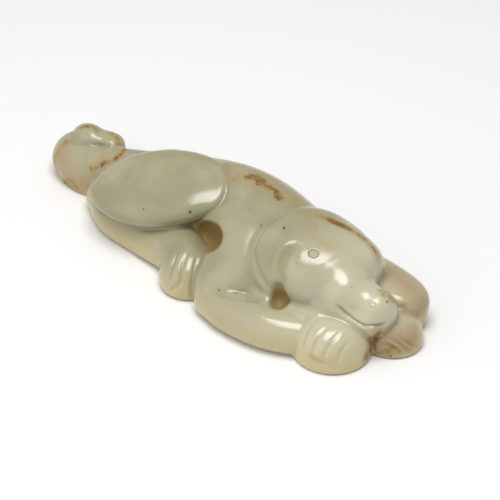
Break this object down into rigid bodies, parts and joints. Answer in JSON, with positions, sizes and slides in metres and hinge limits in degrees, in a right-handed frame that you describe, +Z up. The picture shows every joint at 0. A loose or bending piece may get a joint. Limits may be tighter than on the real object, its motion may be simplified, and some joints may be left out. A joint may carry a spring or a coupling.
{
  "type": "jade dog carving",
  "caption": "Small polished celadon and russet jade carving of a hound lying down, chin on its crossed forepaws and its tail curled up behind, to lie on a desk or shelf.",
  "frame": {"origin": "middle of the underside: the centre of the bounding box's bottom face", "axes": "+X from the tail to the head along the longest extent, +Y to the dog's left, +Z up, with the flat underside at z = 0"},
  "size_m": [0.0794, 0.0282, 0.016],
  "materials": {
    "jade": "polished"
  },
  "bodies": {
    "root": {"jade_dog_carving": "jade"}
  },
  "joints": []
}
